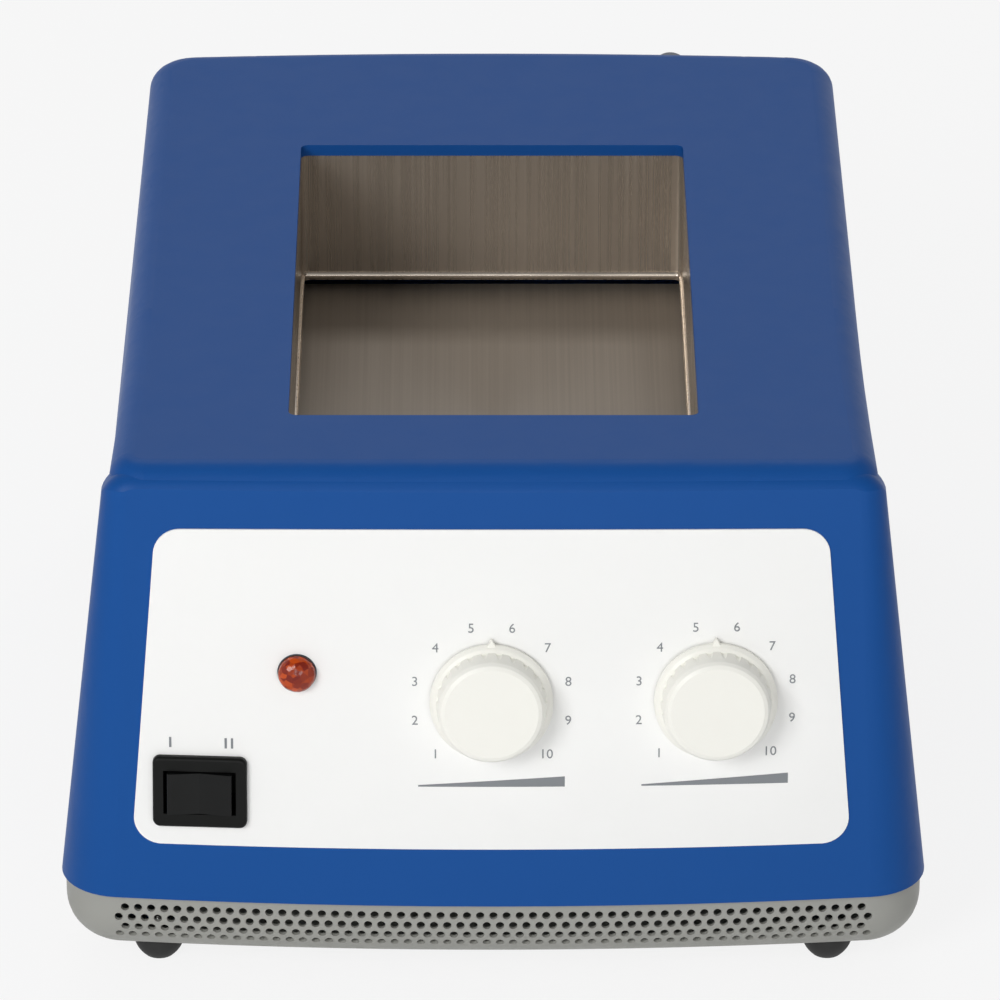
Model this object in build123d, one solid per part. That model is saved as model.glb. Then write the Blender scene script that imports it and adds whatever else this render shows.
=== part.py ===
from build123d import *
import math
import os

os.makedirs("parts", exist_ok=True)

# Block heater for two modular tube blocks: a moulded blue cover on a perforated steel pan.
# Origin: middle of the footprint, on the table. +X right, +Y to the rear, +Z up. Millimetres.

# Outside of the cover
FOOT_H = 6.4
PAN_BOTTOM_Z = FOOT_H
SPLIT_Z = 24.3
DECK_Z = 134.1
HALF_W_BOTTOM = 101.2
SIDE_DRAFT = 6.35
FLARE_Y = -30.0
FLARE_TOP = 1.6
FLARE_BOTTOM = 3.0
PANEL_TILT = 8.0
CREASE_Y = -116.5
REAR_TOP_Y = 127.6
REAR_BOTTOM_Y = 136.1
FRONT_BOW_R = 920.0
REAR_BOW_R = 1250.0
CORNER_TOP_R = 12.0
CORNER_BOTTOM_R = 13.0
FRONT_CORNER_TOP_R = 8.0
FRONT_CORNER_BOTTOM_R = 18.6
EDGE_R = 6.0
COVER_WALL = 3.0

# Raised frame of the control panel, and its label
FRAME_PROUD = 0.7
FRAME_TOP_Z = DECK_Z - 1.3
FRAME_SIDE_TOP = 1.25
FRAME_SIDE_BOTTOM = 0.25
FRAME_CORNER_R = 9.0
FRAME_ROLL_R = 5.0
FRAME_EDGE_TOP_R = 5.5
FRAME_EDGE_BOTTOM_R = 15.0
FRAME_BACK_Y = CREASE_Y + 8.5
LABEL_T = 0.4
LABEL_GLUE = 0.03
LABEL_X = -0.5
LABEL_TOP_Z = DECK_Z - 14.6
LABEL_BOTTOM_Z = DECK_Z - 95.0
LABEL_MARGIN_TOP = 14.0
LABEL_MARGIN_BOTTOM = 16.6
LABEL_CORNER_TOP = 4.5
LABEL_CORNER_BOTTOM = 6.5

# Well for the blocks
WELL_Y = -11.3
WELL_W = 98.0
WELL_L = 154.0
WELL_CORNER_R = 2.0
LINER_T = 0.8
LINER_GAP = 0.3
LINER_FLANGE = 9.0
LINER_BOTTOM_Z = DECK_Z - 38.2
HEM_H = 2.1
PLATE_TOP_Z = DECK_Z - 41.2
PLATE_W = 106.0
PLATE_L = 162.0
PLATE_T = 8.0
HEATER_T = 1.6
INSULATION_T = 11.0
TRAY_T = 1.0
TRAY_EDGE = 3.0

# Perforated pan
PAN_T = 1.0
PAN_INSET = 0.8
PAN_FLARE = 4.2
PAN_BOTTOM_R = 11.5
LIP_INSET = 4.2
LIP_H = 5.0
SPLIT_GAP = 0.3
VENT_D = 2.0
VENT_PITCH = 3.175
VENT_FIRST_Z = SPLIT_Z - 3.45
VENT_COUNTS = (57, 58, 57, 58)

# Controls, by their place on the panel
DIAL_Z = DECK_Z - 57.3
DIAL_LOW_X = -0.5
DIAL_HIGH_X = 52.8
LAMP_X = -46.7
LAMP_Z = DECK_Z - 50.4
SWITCH_X = -70.1
SWITCH_Z = DECK_Z - 80.95
SPINDLE_D = 6.0
SPINDLE_FIT = 0.05
BUSH_D = 9.0
POT_D = 16.0
POT_L = 9.0
KNOB_SKIRT_D = 29.4
KNOB_CAP_D = 24.6
KNOB_H = 9.0
KNOB_GAP = 0.5
SWITCH_W = 22.6
SWITCH_H = 18.1
ROCKER_W = 16.2
ROCKER_H = 10.4
ROCKER_GAP = 0.35
ROCKER_SWING_GAP = 0.6
ROCKER_PIN_D = 2.4
ROCKER_PIVOT = -2.0
PIN_FIT = 0.06
LAMP_D = 9.2
LENS_PLUG_R = 2.9

# Feet, fasteners and the rear
FOOT_D = 12.7
FOOT_X = HALF_W_BOTTOM - 19.9
FOOT_FRONT_Y = -112.5
FOOT_REAR_Y = 112.5
SCREW_D = 3.0
BOSS_X = HALF_W_BOTTOM - 17.0
BOSS_Y = (-92.0, 100.0)
BOSS_D = 9.0
INLET_X = 40.0
INLET_Z = 52.0
INLET_FLANGE_W = 50.0
INLET_FLANGE_H = 23.0
INLET_HOLE_SPAN = 40.0
INLET_BODY_W = 27.0
INLET_BODY_H = 19.8
INLET_DEPTH = 17.0
PLUG_X = 47.3
PLUG_D = 10.0
PLUG_PROUD = 6.4

SPLIT_DROP = DECK_Z - SPLIT_Z
HALF_W_TOP = HALF_W_BOTTOM - SPLIT_DROP * math.tan(math.radians(SIDE_DRAFT))
FRONT_BOTTOM_Y = CREASE_Y - SPLIT_DROP * math.tan(math.radians(PANEL_TILT))
CONSOLE_HALF_TOP = HALF_W_TOP + FLARE_TOP + FRAME_SIDE_TOP
CONSOLE_HALF_BOTTOM = HALF_W_BOTTOM + FLARE_BOTTOM + FRAME_SIDE_BOTTOM
PAN_FLOOR_Z = PAN_BOTTOM_Z + PAN_T
PLATE_BOTTOM_Z = PLATE_TOP_Z - PLATE_T
TRAY_Z = PLATE_BOTTOM_Z - HEATER_T - INSULATION_T - TRAY_T


def outline(z, half_w, flare, front, rear, front_bow, front_corner, rear_corner):
    """Closed plan outline at height z. The sides flare to the front; without a bow the front is straight."""
    wide = half_w + flare
    front_sag = front_bow - math.sqrt(front_bow ** 2 - wide ** 2) if front_bow else 0.0
    front_y = front + front_sag
    rear_y = rear - REAR_BOW_R + math.sqrt(REAR_BOW_R ** 2 - half_w ** 2)
    with BuildSketch(Plane.XY.offset(z)) as plan:
        with BuildLine():
            if front_bow:
                ThreePointArc((-wide, front_y), (0, front), (wide, front_y))
            else:
                Line((-wide, front_y), (wide, front_y))
            if flare:
                span = FLARE_Y - front_y
                flare_r = (span ** 2 + flare ** 2) / (2 * flare)
                half_x = half_w + flare_r - math.sqrt(flare_r ** 2 - span ** 2 / 4)
                ThreePointArc((wide, front_y), (half_x, FLARE_Y - span / 2), (half_w, FLARE_Y))
                Line((half_w, FLARE_Y), (half_w, rear_y))
                ThreePointArc((half_w, rear_y), (0, rear), (-half_w, rear_y))
                Line((-half_w, rear_y), (-half_w, FLARE_Y))
                ThreePointArc((-half_w, FLARE_Y), (-half_x, FLARE_Y - span / 2), (-wide, front_y))
            else:
                Line((half_w, front_y), (half_w, rear_y))
                ThreePointArc((half_w, rear_y), (0, rear), (-half_w, rear_y))
                Line((-half_w, rear_y), (-half_w, front_y))
        make_face()
        corners = plan.vertices().sort_by(Axis.Y)
        fillet(corners[:2], front_corner)
        corners = plan.vertices().sort_by(Axis.Y)
        fillet(corners[-2:], rear_corner)
    return plan.sketch


def cover_outline(z, grow=0.0):
    """Plan outline of the cover's body, grown or shrunk by one wall offset."""
    drop = DECK_Z - z
    share = drop / SPLIT_DROP
    tan_rear = (REAR_BOTTOM_Y - REAR_TOP_Y) / SPLIT_DROP
    return outline(z, half_width(z) + grow, FLARE_TOP + share * (FLARE_BOTTOM - FLARE_TOP),
                   CREASE_Y - drop * math.tan(math.radians(PANEL_TILT)) - grow,
                   REAR_TOP_Y + drop * tan_rear + grow, FRONT_BOW_R if share > 0.5 else 0.0,
                   FRONT_CORNER_TOP_R + share * (FRONT_CORNER_BOTTOM_R - FRONT_CORNER_TOP_R) + grow,
                   CORNER_TOP_R + share * (CORNER_BOTTOM_R - CORNER_TOP_R) + grow)


def cover_body(grow=0.0, low_z=SPLIT_Z, high_z=DECK_Z):
    """Drafted and bowed body of the cover."""
    return loft([cover_outline(low_z, grow), cover_outline(high_z, grow)], ruled=True)


def console_body(grow=0.0):
    """The body as wide as the panel's raised frame; grow is measured from the frame's face."""
    out = FRAME_PROUD + grow
    low = outline(SPLIT_Z, CONSOLE_HALF_BOTTOM + grow, 0, FRONT_BOTTOM_Y - out, REAR_BOTTOM_Y, FRONT_BOW_R,
                  FRAME_EDGE_BOTTOM_R + grow, CORNER_BOTTOM_R)
    high = outline(DECK_Z, CONSOLE_HALF_TOP + grow, 0, CREASE_Y - out, REAR_TOP_Y, 0,
                   FRAME_EDGE_TOP_R + grow, CORNER_TOP_R)
    return loft([low, high], ruled=True)


def make_frame():
    """Raised frame round the panel: the wide body within a block with round corners and a rolled edge."""
    clear = 0.3
    tilt = math.radians(PANEL_TILT)
    face = Plane(origin=(0, CREASE_Y - FRAME_PROUD - 0.05, DECK_Z), x_dir=(1, 0, 0),
                 z_dir=(0, -math.cos(tilt), math.sin(tilt)))
    top = (FRAME_TOP_Z - DECK_Z) / math.cos(tilt)
    low = (SPLIT_Z - DECK_Z) / math.cos(tilt) - 12
    spread = (CONSOLE_HALF_BOTTOM - CONSOLE_HALF_TOP) / SPLIT_DROP * math.cos(tilt)
    with BuildPart() as block:
        with BuildSketch(face) as front:
            with BuildLine():
                Polyline((-CONSOLE_HALF_TOP - clear + spread * low, low),
                         (CONSOLE_HALF_TOP + clear - spread * low, low),
                         (CONSOLE_HALF_TOP + clear - spread * top, top),
                         (-CONSOLE_HALF_TOP - clear + spread * top, top), close=True)
            make_face()
            fillet(front.vertices().group_by(Axis.Z)[-1], FRAME_CORNER_R)
        extrude(amount=-60)
        front_face = block.faces().sort_by(Axis.Y)[0]
        rolled = [e for e in front_face.edges() if e.center().Z > SPLIT_Z]
        fillet(rolled, FRAME_ROLL_R)
    frame = console_body() & block.part
    return frame & Pos(0, FRAME_BACK_Y - 60, DECK_Z / 2) * Box(400, 120, 400)


def bow_at(x, z):
    """How far the bowed panel lies behind its middle at this place."""
    share = (DECK_Z - z) / SPLIT_DROP
    widest_top = CONSOLE_HALF_TOP - FRAME_EDGE_TOP_R
    widest_bottom = CONSOLE_HALF_BOTTOM - FRAME_EDGE_BOTTOM_R
    x_bottom = x * widest_bottom / (widest_top * (1 - share) + widest_bottom * share)
    return share * x_bottom ** 2 / (2 * FRONT_BOW_R)


def panel_y(x, z, proud=0.0):
    return CREASE_Y - (DECK_Z - z) * math.tan(math.radians(PANEL_TILT)) + bow_at(x, z) - proud


def panel_plane(x, z):
    """Plane on the label's face: X across the panel, Y up the panel, Z out of it."""
    step = 0.5
    slope_x = (panel_y(x + step, z) - panel_y(x - step, z)) / (2 * step)
    slope_z = (panel_y(x, z + step) - panel_y(x, z - step)) / (2 * step)
    out = Vector(slope_x, -1, slope_z).normalized()
    across = Vector(1, slope_x, 0).normalized()
    place = Vector(x, panel_y(x, z, FRAME_PROUD + LABEL_T), z)
    return Plane(origin=place, x_dir=across, z_dir=out)


def on_panel(plane, part):
    return plane.location * part


def turned(rings, arc=360):
    """Solid of revolution about Z from (radius, height) points."""
    with BuildPart() as part:
        with BuildSketch(Plane.XZ):
            with BuildLine():
                Polyline(*rings, close=True)
            make_face()
        revolve(axis=Axis.Z, revolution_arc=arc)
    return part.part


def post(radius, low, high, x=0.0, y=0.0):
    return Pos(x, y, low) * extrude(Circle(radius), high - low)


def slab(width, length, low, high, x=0.0, y=0.0, corner=0.0):
    plan = RectangleRounded(width, length, corner) if corner else Rectangle(width, length)
    return Pos(x, y, low) * extrude(plan, high - low)


def front_prism(width_low, width_high, low_z, high_z, corner_low, corner_high, x=0.0):
    """Upright prism seen from the front as a tapered plate with rounded corners."""
    with BuildSketch(Plane.XZ) as face:
        with BuildLine():
            Polyline((x - width_low, low_z), (x + width_low, low_z), (x + width_high, high_z),
                     (x - width_high, high_z), close=True)
        make_face()
        low = face.vertices().group_by(Axis.Z)[0]
        high = face.vertices().group_by(Axis.Z)[-1]
        if corner_low:
            fillet(low, corner_low)
        fillet(high, corner_high)
    return extrude(face.sketch, 100, both=True).moved(Location((0, -110, 0)))


def half_width(z):
    return HALF_W_TOP + (DECK_Z - z) * math.tan(math.radians(SIDE_DRAFT))


def console_half(z):
    return CONSOLE_HALF_TOP + (DECK_Z - z) / SPLIT_DROP * (CONSOLE_HALF_BOTTOM - CONSOLE_HALF_TOP)


def screw(head_d, head_h, shank_d, length, slot=True):
    """Pan head screw pointing up: underside of the head at z 0."""
    body = turned([(0, -head_h), (head_d * 0.36, -head_h), (head_d / 2, -head_h * 0.35),
                   (head_d / 2, 0), (shank_d / 2, 0), (shank_d / 2, length - 0.4),
                   (shank_d / 2 - 0.4, length), (0, length)])
    if slot:
        for turn in (0, 90):
            cut = Rot(0, 0, turn) * Box(head_d * 0.55, head_d * 0.14, head_h)
            body -= Pos(0, 0, -head_h) * cut
    return body


def hex_nut(across, height, bore):
    return extrude(RegularPolygon(across / 2, 6, major_radius=False), height) - \
        extrude(Circle(bore / 2), height)


def make_top_cover():
    body = cover_body()
    top_edges = body.faces().sort_by(Axis.Z)[-1].edges()
    body = fillet(top_edges, EDGE_R)
    body += make_frame()
    inside = cover_body(-COVER_WALL, SPLIT_Z - 10, DECK_Z - COVER_WALL)
    inner_rim = inside.faces().sort_by(Axis.Z)[-1].edges()
    body -= fillet(inner_rim, EDGE_R - COVER_WALL)
    body -= slab(WELL_W, WELL_L, DECK_Z - 10, DECK_Z + 5, 0, WELL_Y, WELL_CORNER_R)
    # screw posts near the bottom corners, each tied to the side wall by a web
    for sx in (-1, 1):
        for y in BOSS_Y:
            reach = half_width(50) - COVER_WALL / 2
            web_x = (BOSS_X + reach) / 2
            body += post(BOSS_D / 2, PAN_FLOOR_Z, 50, sx * BOSS_X, y)
            body += Pos(sx * web_x, y, 40) * Box(reach - BOSS_X, 3, 20)
            body -= post(SCREW_D * 0.42, PAN_FLOOR_Z, 25, sx * BOSS_X, y)
    # flat seat for the mains inlet, thickened on the inside
    seat_y = inlet_face_y()
    body += Pos(INLET_X, seat_y - 2.5, INLET_Z) * Box(INLET_FLANGE_W + 8, 5, INLET_FLANGE_H + 8)
    body -= Pos(INLET_X, seat_y + 5, INLET_Z) * Box(INLET_FLANGE_W + 3, 10, INLET_FLANGE_H + 3)
    body -= Pos(INLET_X, seat_y, INLET_Z) * Box(INLET_BODY_W + 0.4, 20, INLET_BODY_H + 0.4)
    for sx in (-1, 1):
        hole_x = INLET_X + sx * INLET_HOLE_SPAN / 2
        body -= Pos(hole_x, seat_y, INLET_Z) * Rot(90, 0, 0) * Cylinder(SCREW_D / 2 + 0.15, 20)
    body -= rear_plug_place() * Cylinder(3.1, 30)
    # ribs under the deck between the well and the rear wall
    for x in (-60, -20, 20, 60):
        body += Pos(x, RIB_Y, DECK_Z - COVER_WALL - RIB_H / 2) * Box(RIB_T, RIB_L, RIB_H)
    # openings of the panel
    for x in (DIAL_LOW_X, DIAL_HIGH_X):
        plane = panel_plane(x, DIAL_Z)
        body -= on_panel(plane, Pos(0, 0, -5) * Cylinder(BUSH_D / 2 + 0.2, 20))
    plane = panel_plane(LAMP_X, LAMP_Z)
    body -= on_panel(plane, Pos(0, 0, -5) * Cylinder(LAMP_D / 2 - 0.5, 20))
    plane = panel_plane(SWITCH_X, SWITCH_Z)
    body -= on_panel(plane, Pos(0, 0, -5) * Box(SWITCH_W - 3, SWITCH_H - 3, 20))
    return body


def make_front_label():
    skin = console_body(LABEL_T) - console_body(LABEL_GLUE)
    low_half = console_half(LABEL_BOTTOM_Z) - LABEL_MARGIN_BOTTOM
    top_half = console_half(LABEL_TOP_Z) - LABEL_MARGIN_TOP
    zone = front_prism(low_half, top_half, LABEL_BOTTOM_Z, LABEL_TOP_Z,
                       LABEL_CORNER_BOTTOM, LABEL_CORNER_TOP, LABEL_X)
    zone &= Pos(0, CREASE_Y - 60, 80) * Box(300, 160, 200)
    label = skin & zone
    for x in (DIAL_LOW_X, DIAL_HIGH_X):
        label -= on_panel(panel_plane(x, DIAL_Z), Cylinder(BUSH_D / 2 + 0.4, 6))
    label -= on_panel(panel_plane(LAMP_X, LAMP_Z), Cylinder(LAMP_D / 2 + 0.1, 6))
    label -= on_panel(panel_plane(SWITCH_X, SWITCH_Z), Box(SWITCH_W - 2.6, SWITCH_H - 2.6, 6))
    return label


def pan_outline(z, inset):
    """Outline of the pan's outer wall: it flares a little more than the cover, to meet the wider frame."""
    return outline(z, HALF_W_BOTTOM - inset, PAN_FLARE, FRONT_BOTTOM_Y + inset, REAR_BOTTOM_Y - inset,
                   FRONT_BOW_R, FRAME_EDGE_BOTTOM_R - inset, CORNER_BOTTOM_R - inset)


def lip_outline(z, inset):
    """Outline of the pan's lip, which follows the inside of the cover."""
    return outline(z, HALF_W_BOTTOM - inset, FLARE_BOTTOM, FRONT_BOTTOM_Y + inset, REAR_BOTTOM_Y - inset,
                   FRONT_BOW_R, FRONT_CORNER_BOTTOM_R - inset, CORNER_BOTTOM_R - inset)


def vent_cutters():
    """Staggered rows of punched holes that follow the bow and the rounded bottom edge."""
    arc_r = FRONT_BOW_R - PAN_INSET
    centre_y = FRONT_BOTTOM_Y + FRONT_BOW_R
    arc_start_z = PAN_BOTTOM_Z + PAN_BOTTOM_R
    row_step = VENT_PITCH * math.sin(math.radians(60))
    cutters = []
    for row, count in enumerate(VENT_COUNTS):
        z = VENT_FIRST_Z - row * row_step
        under = max(0.0, arc_start_z - z)
        lean = under / PAN_BOTTOM_R
        inward = PAN_BOTTOM_R * (1 - math.cos(lean)) if under else 0.0
        if under:
            z = arc_start_z - PAN_BOTTOM_R * math.sin(lean)
        hole = Rot(90, 0, 0) * Cylinder(VENT_D / 2, 5)
        hole = Rot(math.degrees(lean), 0, 0) * hole
        for i in range(count):
            turn = (i - (count - 1) / 2) * VENT_PITCH / arc_r
            spot = Pos(0, centre_y, 0) * Rot(0, 0, math.degrees(turn)) * Pos(0, inward - arc_r, z)
            cutters.append(spot * hole)
    return cutters


def make_base_pan():
    top_z = SPLIT_Z - SPLIT_GAP
    shell = extrude(pan_outline(PAN_BOTTOM_Z, PAN_INSET), top_z - PAN_BOTTOM_Z)
    shell = fillet(shell.faces().sort_by(Axis.Z)[0].edges(), PAN_BOTTOM_R)
    core = extrude(pan_outline(PAN_FLOOR_Z, PAN_INSET + PAN_T), top_z - PAN_T - PAN_FLOOR_Z)
    core = fillet(core.faces().sort_by(Axis.Z)[0].edges(), PAN_BOTTOM_R - PAN_T)
    shell -= core
    shell -= extrude(lip_outline(top_z - 2 * PAN_T, LIP_INSET + PAN_T), 4 * PAN_T)
    lip = extrude(lip_outline(top_z - PAN_T, LIP_INSET), PAN_T + LIP_H)
    lip -= extrude(lip_outline(top_z - PAN_T, LIP_INSET + PAN_T), PAN_T + LIP_H)
    shell += lip
    for sx in (-1, 1):
        for y in BOSS_Y:
            shell -= post(SCREW_D / 2 + 0.25, 0, DRILL_Z, sx * BOSS_X, y)
        for y in (FOOT_FRONT_Y, FOOT_REAR_Y):
            shell -= post(SCREW_D / 2 + 0.1, 0, DRILL_Z, sx * FOOT_X, y)
        for y in tray_foot_ys():
            shell -= post(SCREW_D / 2 + 0.1, 0, DRILL_Z, sx * TRAY_FOOT_X, y)
    for x, y in board_posts():
        shell -= post(SCREW_D / 2 + 0.1, 0, DRILL_Z, x, y)
    shell -= post(2.1, 0, DRILL_Z, EARTH_X, EARTH_Y)
    for i in range(9):
        for y in (-60, 40):
            shell -= slab(3, 26, 0, DRILL_Z, -32 + 8 * i, y, 1.4)
    return shell - vent_cutters()


TRAY_FOOT_X = 40.0
CUTOUT_R = 8.0
CUTOUT_X = -20.0
CUTOUT_Y = WELL_Y - 45.0
TRAY_W = PLATE_W + 2 * TRAY_EDGE
TRAY_L = PLATE_L + 2 * TRAY_EDGE
SPACER_X = PLATE_W / 2 - 6.0
SPACER_Y = PLATE_L / 2 - 8.0
HEATER_W = PLATE_W - 22.0
HEATER_L = PLATE_L - 12.0
RIB_T = 2.4
RIB_L = 46.0
RIB_H = 7.0
RIB_Y = REAR_TOP_Y - 3.6 - RIB_L / 2
DRILL_Z = PAN_FLOOR_Z + 4.6
# the board reaches from beside the earth stud to below the mains inlet
BOARD_LEFT = 34.2 - HALF_W_BOTTOM
BOARD_RIGHT = INLET_X + 3.0
BOARD_W = BOARD_RIGHT - BOARD_LEFT
BOARD_L = 40.0
BOARD_X = (BOARD_LEFT + BOARD_RIGHT) / 2
BOARD_Y = 101.0
EARTH_X = BOARD_LEFT - 3.0
EARTH_Y = BOARD_Y - 5.0
BOARD_Z = 18.0
BOARD_T = 1.6
TRIAC_X = BOARD_RIGHT - 33.0
TRIAC_Y = BOARD_Y + 6
TRIAC_LEGS = (-2.54, 0, 2.54)


def tray_foot_ys():
    return (WELL_Y - TRAY_L / 2 + 8, WELL_Y + TRAY_L / 2 - 8)


def board_posts():
    return [(BOARD_X + sx * (BOARD_W / 2 - 5), BOARD_Y + sy * (BOARD_L / 2 - 5))
            for sx in (-1, 1) for sy in (-1, 1)]


def make_well_liner():
    """Folded stainless sleeve: flange under the deck, four walls and a hemmed lower edge."""
    in_w = WELL_W + 2 * LINER_GAP
    in_l = WELL_L + 2 * LINER_GAP
    out_w = in_w + 2 * LINER_T
    out_l = in_l + 2 * LINER_T
    top = DECK_Z - COVER_WALL
    r_in = WELL_CORNER_R
    walls = slab(out_w, out_l, LINER_BOTTOM_Z, top, 0, WELL_Y, r_in + LINER_T)
    flange = slab(out_w + 2 * LINER_FLANGE, out_l + 2 * LINER_FLANGE, top - LINER_T, top, 0, WELL_Y, 4)
    hem = slab(out_w + 2 * LINER_T, out_l + 2 * LINER_T, LINER_BOTTOM_Z,
               LINER_BOTTOM_Z + 6, 0, WELL_Y, r_in + 2 * LINER_T)
    roll = slab(in_w - 1.0, in_l - 1.0, LINER_BOTTOM_Z, LINER_BOTTOM_Z + HEM_H, 0, WELL_Y, r_in)
    liner = walls + flange + hem
    liner -= slab(in_w, in_l, LINER_BOTTOM_Z + HEM_H, top + 1, 0, WELL_Y, r_in)
    liner -= roll
    inner = [e for e in liner.edges().filter_by(GeomType.LINE)
             if abs(e.center().Z - LINER_BOTTOM_Z - HEM_H) < 0.01 and e.length > 50]
    small = [e for e in inner if abs(e.center().X) < in_w / 2 - 0.2
             and abs(e.center().Y - WELL_Y) < in_l / 2 - 0.2]
    return fillet(small, 0.35) if small else liner


def make_heater_plate():
    plate = slab(PLATE_W, PLATE_L, PLATE_BOTTOM_Z, PLATE_TOP_Z, 0, WELL_Y, 4)
    plate = chamfer(plate.faces().sort_by(Axis.Z)[-1].edges(), 0.5)
    for sx in (-1, 1):
        for sy in (-1, 1):
            plate -= post(1.7, PLATE_BOTTOM_Z, PLATE_BOTTOM_Z + 6, sx * SPACER_X, WELL_Y + sy * SPACER_Y)
    # blind bore in the front edge for the temperature sensor
    bore_y = WELL_Y - PLATE_L / 2
    plate -= Pos(24, bore_y + 15, PLATE_TOP_Z - 4) * Rot(90, 0, 0) * Cylinder(2.05, 30)
    return plate


def make_heating_element():
    top = PLATE_BOTTOM_Z
    pad = slab(HEATER_W, HEATER_L, top - HEATER_T, top, 0, WELL_Y, 5)
    for sx in (-1, 1):
        pad += slab(12, 9, top - HEATER_T, top, sx * 14, WELL_Y - HEATER_L / 2 - 3)
    return pad - post(CUTOUT_R + 1, top - HEATER_T, top, CUTOUT_X, CUTOUT_Y)


def make_insulation_pad():
    top = PLATE_BOTTOM_Z - HEATER_T
    pad = slab(PLATE_W, PLATE_L, TRAY_Z + TRAY_T, top, 0, WELL_Y, 3)
    for sx in (-1, 1):
        for sy in (-1, 1):
            corner = (sx * (PLATE_W / 2 - 5), WELL_Y + sy * (PLATE_L / 2 - 7))
            pad -= slab(20, 24, TRAY_Z, top + 1, *corner)
    pad -= post(CUTOUT_R + 2, TRAY_Z, top + 1, CUTOUT_X, CUTOUT_Y)
    return pad


def make_heater_tray():
    tray = slab(TRAY_W, TRAY_L, TRAY_Z, TRAY_Z + 9, 0, WELL_Y, 3)
    tray -= slab(TRAY_W - 2 * TRAY_T, TRAY_L - 2 * TRAY_T, TRAY_Z + TRAY_T, TRAY_Z + 10, 0, WELL_Y, 2)
    for sx in (-1, 1):
        for sy in (-1, 1):
            end_y = WELL_Y + sy * (TRAY_L / 2 - TRAY_T / 2)
            foot_y = WELL_Y + sy * (TRAY_L / 2 - 8)
            tray += slab(18, TRAY_T, PAN_FLOOR_Z, TRAY_Z + TRAY_T, sx * TRAY_FOOT_X, end_y)
            tray += slab(18, 16, PAN_FLOOR_Z, PAN_FLOOR_Z + TRAY_T, sx * TRAY_FOOT_X, foot_y)
            tray -= post(SCREW_D * 0.42, 0, 15, sx * TRAY_FOOT_X, foot_y)
            spacer = (sx * SPACER_X, WELL_Y + sy * SPACER_Y)
            tray -= post(1.7, TRAY_Z - 1, TRAY_Z + 4, *spacer)
    tray -= post(CUTOUT_R + 2, TRAY_Z - 1, TRAY_Z + 3, CUTOUT_X, CUTOUT_Y)
    for x in (-30, -10, 10, 30):
        tray -= slab(6, 60, TRAY_Z - 1, TRAY_Z + 3, x, WELL_Y + 15, 2.9)
    return tray


def spacer_spots():
    return [(sx * SPACER_X, WELL_Y + sy * SPACER_Y) for sx in (-1, 1) for sy in (-1, 1)]


def make_tray_spacers():
    low = TRAY_Z + TRAY_T
    return [post(4, low, PLATE_BOTTOM_Z, x, y) - post(1.8, low, PLATE_BOTTOM_Z, x, y)
            for x, y in spacer_spots()]


def make_plate_screws():
    length = PLATE_BOTTOM_Z + 4 - TRAY_Z
    return [Pos(x, y, TRAY_Z) * screw(6.5, 2.2, 3.2, length) for x, y in spacer_spots()]


def make_tray_screws():
    spots = [(sx * TRAY_FOOT_X, y) for sx in (-1, 1) for y in tray_foot_ys()]
    return [Pos(x, y, PAN_BOTTOM_Z) * screw(5.6, 2.0, SCREW_D - 0.5, 5) for x, y in spots]


def make_thermal_cutout():
    """Bimetal disc cut-out held against the underside of the plate, through the insulation."""
    x, y = CUTOUT_X, CUTOUT_Y
    top = PLATE_BOTTOM_Z
    cut = post(CUTOUT_R, top - 5, top, x, y)
    cut += post(6.5, top - 13, top - 5, x, y)
    for sx in (-1, 1):
        cut += Pos(x + sx * 3.6, y, top - 16) * Box(0.8, 4.8, 8)
    return cut


def make_plate_sensor():
    y = WELL_Y - PLATE_L / 2
    probe = Pos(24, y + 9, PLATE_TOP_Z - 4) * Rot(90, 0, 0) * Cylinder(2.0, 26)
    return probe + Pos(24, y - 5, PLATE_TOP_Z - 4) * Rot(90, 0, 0) * Cylinder(2.6, 4)


def dial_planes():
    return [panel_plane(DIAL_LOW_X, DIAL_Z), panel_plane(DIAL_HIGH_X, DIAL_Z)]


PANEL_BACK = -(FRAME_PROUD + LABEL_T + COVER_WALL)


def make_pot(plane):
    """Potentiometer: can, threaded bush through the panel and three solder tags."""
    back = PANEL_BACK - 0.4
    pot = post(POT_D / 2, back - POT_L, back)
    pot += post(BUSH_D / 2, back, 2.0 - LABEL_T)
    pot -= post(SPINDLE_D / 2 + SPINDLE_FIT, back - POT_L + 3, 5)
    pot += Pos(0, -POT_D / 2 - 2, back - 4) * Box(13, 7, 1.6)
    for x in (-5, 0, 5):
        pot += Pos(x, -POT_D / 2 - 7.5, back - 4) * Box(1.4, 5, 0.8)
    return on_panel(plane, pot)


def make_pot_nuts():
    nut = hex_nut(13.0, 1.5, BUSH_D)
    return [on_panel(plane, nut) for plane in dial_planes()]


def make_spindle(plane):
    back = PANEL_BACK - 0.4
    shaft = post(SPINDLE_D / 2, back - POT_L + 3.3, KNOB_H - 2.5)
    shaft -= Pos(0, 4.2, KNOB_H - 5.5) * Box(10, 5, 6.2)
    return on_panel(plane, shaft)


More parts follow.
